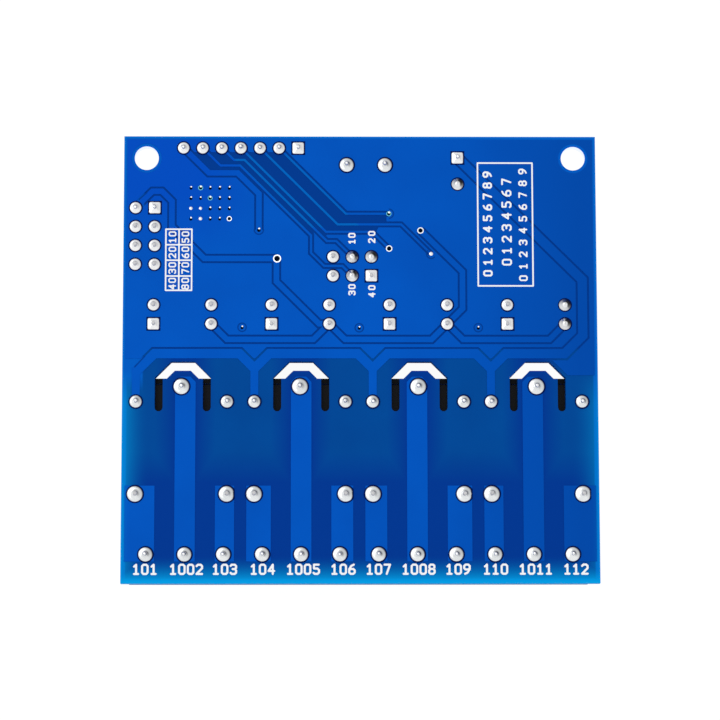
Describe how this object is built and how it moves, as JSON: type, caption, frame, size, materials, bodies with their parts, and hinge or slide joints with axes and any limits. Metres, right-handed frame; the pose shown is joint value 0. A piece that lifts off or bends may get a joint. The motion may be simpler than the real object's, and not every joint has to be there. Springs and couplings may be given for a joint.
{
  "type": "relay module board",
  "caption": "Square blue relay board seen from its solder side, with relays, screw terminals, headers and a module socket on the other side.",
  "frame": {"origin": "under the middle of the board, in the plane of the relays' tops that the part rests on", "axes": "+X along the edge with the output terminals, +Y towards the edge with the pin header, +Z out of the solder side"},
  "size_m": [0.0628, 0.0596, 0.0188],
  "materials": {
    "laminate": "blue mask over glass-fibre laminate",
    "masked_copper": "copper seen through the blue mask",
    "solder": "bright solder",
    "relay_plastic": "blue moulded case",
    "black_plastic": "black moulded",
    "coil_wire": "enamelled copper wire",
    "iron": "nickel-plated iron",
    "contact_brass": "contact alloy",
    "tinned_wire": "tinned",
    "terminal_plastic": "blue moulded",
    "plated_steel": "zinc-plated",
    "jumper_plastic": "black moulded",
    "chip_plastic": "dark moulding compound",
    "capacitor_sleeve": "dark sleeve",
    "ceramic": "dark film on ceramic",
    "light_lens": "tinted lens"
  },
  "bodies": {
    "board": {"capacitor_leads": "tinned_wire", "channel_transistors": "chip_plastic", "chip_parts": "ceramic", "circuit_board": "laminate", "controller_chip": "chip_plastic", "controller_leads": "tinned_wire", "copper_layer": "masked_copper", "flyback_diodes": "chip_plastic", "header_pins": "contact_brass", "jumper_caps": "jumper_plastic", "jumper_header": "black_plastic", "module_socket": "black_plastic", "module_socket_contacts": "contact_brass", "optocoupler_leads": "tinned_wire", "optocouplers": "chip_plastic", "output_terminal_housings": "terminal_plastic", "power_capacitor": "capacitor_sleeve", "power_terminal_housing": "terminal_plastic", "programming_header": "black_plastic", "regulator_tabs": "tinned_wire", "relay_1_case": "relay_plastic", "relay_2_case": "relay_plastic", "relay_3_case": "relay_plastic", "relay_4_case": "relay_plastic", "relay_bases": "black_plastic", "relay_bobbins": "black_plastic", "relay_closed_contacts": "contact_brass", "relay_coil_pins": "tinned_wire", "relay_cores": "iron", "relay_open_contacts": "contact_brass", "relay_windings": "coil_wire", "relay_yokes": "iron", "solder_joints": "solder", "status_lights": "light_lens", "terminal_clamps": "plated_steel", "terminal_pins": "tinned_wire", "voltage_regulators": "chip_plastic"},
    "relay_1_armature_set": {"relay_1_armature": "iron", "relay_1_contact_spring": "contact_brass"},
    "relay_2_armature_set": {"relay_2_armature": "iron", "relay_2_contact_spring": "contact_brass"},
    "relay_3_armature_set": {"relay_3_armature": "iron", "relay_3_contact_spring": "contact_brass"},
    "relay_4_armature_set": {"relay_4_armature": "iron", "relay_4_contact_spring": "contact_brass"},
    "screw_1_closed_body": {"screw_1_closed": "plated_steel"},
    "screw_1_common_body": {"screw_1_common": "plated_steel"},
    "screw_1_open_body": {"screw_1_open": "plated_steel"},
    "screw_2_closed_body": {"screw_2_closed": "plated_steel"},
    "screw_2_common_body": {"screw_2_common": "plated_steel"},
    "screw_2_open_body": {"screw_2_open": "plated_steel"},
    "screw_3_closed_body": {"screw_3_closed": "plated_steel"},
    "screw_3_common_body": {"screw_3_common": "plated_steel"},
    "screw_3_open_body": {"screw_3_open": "plated_steel"},
    "screw_4_closed_body": {"screw_4_closed": "plated_steel"},
    "screw_4_common_body": {"screw_4_common": "plated_steel"},
    "screw_4_open_body": {"screw_4_open": "plated_steel"},
    "screw_power_left_body": {"screw_power_left": "plated_steel"},
    "screw_power_right_body": {"screw_power_right": "plated_steel"}
  },
  "joints": [
    {"name": "relay_1_armature_hinge", "type": "hinge", "parent": "board", "child": "relay_1_armature_set", "pos_m": [-0.02354, -0.00339, 0.00435], "axis": [-1, 0, 0], "range_deg": [0, 3.4], "stiffness_Nm_per_rad": 0.002, "springref_deg": -28.65},
    {"name": "relay_2_armature_hinge", "type": "hinge", "parent": "board", "child": "relay_2_armature_set", "pos_m": [-0.00796, -0.00339, 0.00435], "axis": [-1, 0, 0], "range_deg": [0, 3.4], "stiffness_Nm_per_rad": 0.002, "springref_deg": -28.65},
    {"name": "relay_3_armature_hinge", "type": "hinge", "parent": "board", "child": "relay_3_armature_set", "pos_m": [0.00764, -0.00339, 0.00435], "axis": [-1, 0, 0], "range_deg": [0, 3.4], "stiffness_Nm_per_rad": 0.002, "springref_deg": -28.65},
    {"name": "relay_4_armature_hinge", "type": "hinge", "parent": "board", "child": "relay_4_armature_set", "pos_m": [0.02322, -0.00339, 0.00435], "axis": [-1, 0, 0], "range_deg": [0, 3.4], "stiffness_Nm_per_rad": 0.002, "springref_deg": -28.65},
    {"name": "screw_1_closed_turn", "type": "hinge", "parent": "board", "child": "screw_1_closed_body", "pos_m": [-0.0281, -0.02596, 0.0073], "axis": [0, 0, 1], "range_deg": [0, 1980]},
    {"name": "screw_1_common_turn", "type": "hinge", "parent": "board", "child": "screw_1_common_body", "pos_m": [-0.02302, -0.02596, 0.0073], "axis": [0, 0, 1], "range_deg": [0, 1980]},
    {"name": "screw_1_open_turn", "type": "hinge", "parent": "board", "child": "screw_1_open_body", "pos_m": [-0.01794, -0.02596, 0.0073], "axis": [0, 0, 1], "range_deg": [0, 1980]},
    {"name": "screw_2_closed_turn", "type": "hinge", "parent": "board", "child": "screw_2_closed_body", "pos_m": [-0.01286, -0.02596, 0.0073], "axis": [0, 0, 1], "range_deg": [0, 1980]},
    {"name": "screw_2_common_turn", "type": "hinge", "parent": "board", "child": "screw_2_common_body", "pos_m": [-0.00778, -0.02596, 0.0073], "axis": [0, 0, 1], "range_deg": [0, 1980]},
    {"name": "screw_2_open_turn", "type": "hinge", "parent": "board", "child": "screw_2_open_body", "pos_m": [-0.0027, -0.02596, 0.0073], "axis": [0, 0, 1], "range_deg": [0, 1980]},
    {"name": "screw_3_closed_turn", "type": "hinge", "parent": "board", "child": "screw_3_closed_body", "pos_m": [0.00238, -0.02596, 0.0073], "axis": [0, 0, 1], "range_deg": [0, 1980]},
    {"name": "screw_3_common_turn", "type": "hinge", "parent": "board", "child": "screw_3_common_body", "pos_m": [0.00746, -0.02596, 0.0073], "axis": [0, 0, 1], "range_deg": [0, 1980]},
    {"name": "screw_3_open_turn", "type": "hinge", "parent": "board", "child": "screw_3_open_body", "pos_m": [0.01254, -0.02596, 0.0073], "axis": [0, 0, 1], "range_deg": [0, 1980]},
    {"name": "screw_4_closed_turn", "type": "hinge", "parent": "board", "child": "screw_4_closed_body", "pos_m": [0.01762, -0.02596, 0.0073], "axis": [0, 0, 1], "range_deg": [0, 1980]},
    {"name": "screw_4_common_turn", "type": "hinge", "parent": "board", "child": "screw_4_common_body", "pos_m": [0.0227, -0.02596, 0.0073], "axis": [0, 0, 1], "range_deg": [0, 1980]},
    {"name": "screw_4_open_turn", "type": "hinge", "parent": "board", "child": "screw_4_open_body", "pos_m": [0.02778, -0.02596, 0.0073], "axis": [0, 0, 1], "range_deg": [0, 1980]},
    {"name": "screw_power_left_turn", "type": "hinge", "parent": "board", "child": "screw_power_left_body", "pos_m": [-0.00176, 0.02589, 0.0073], "axis": [0, 0, 1], "range_deg": [0, 1980]},
    {"name": "screw_power_right_turn", "type": "hinge", "parent": "board", "child": "screw_power_right_body", "pos_m": [0.00332, 0.02589, 0.0073], "axis": [0, 0, 1], "range_deg": [0, 1980]}
  ]
}
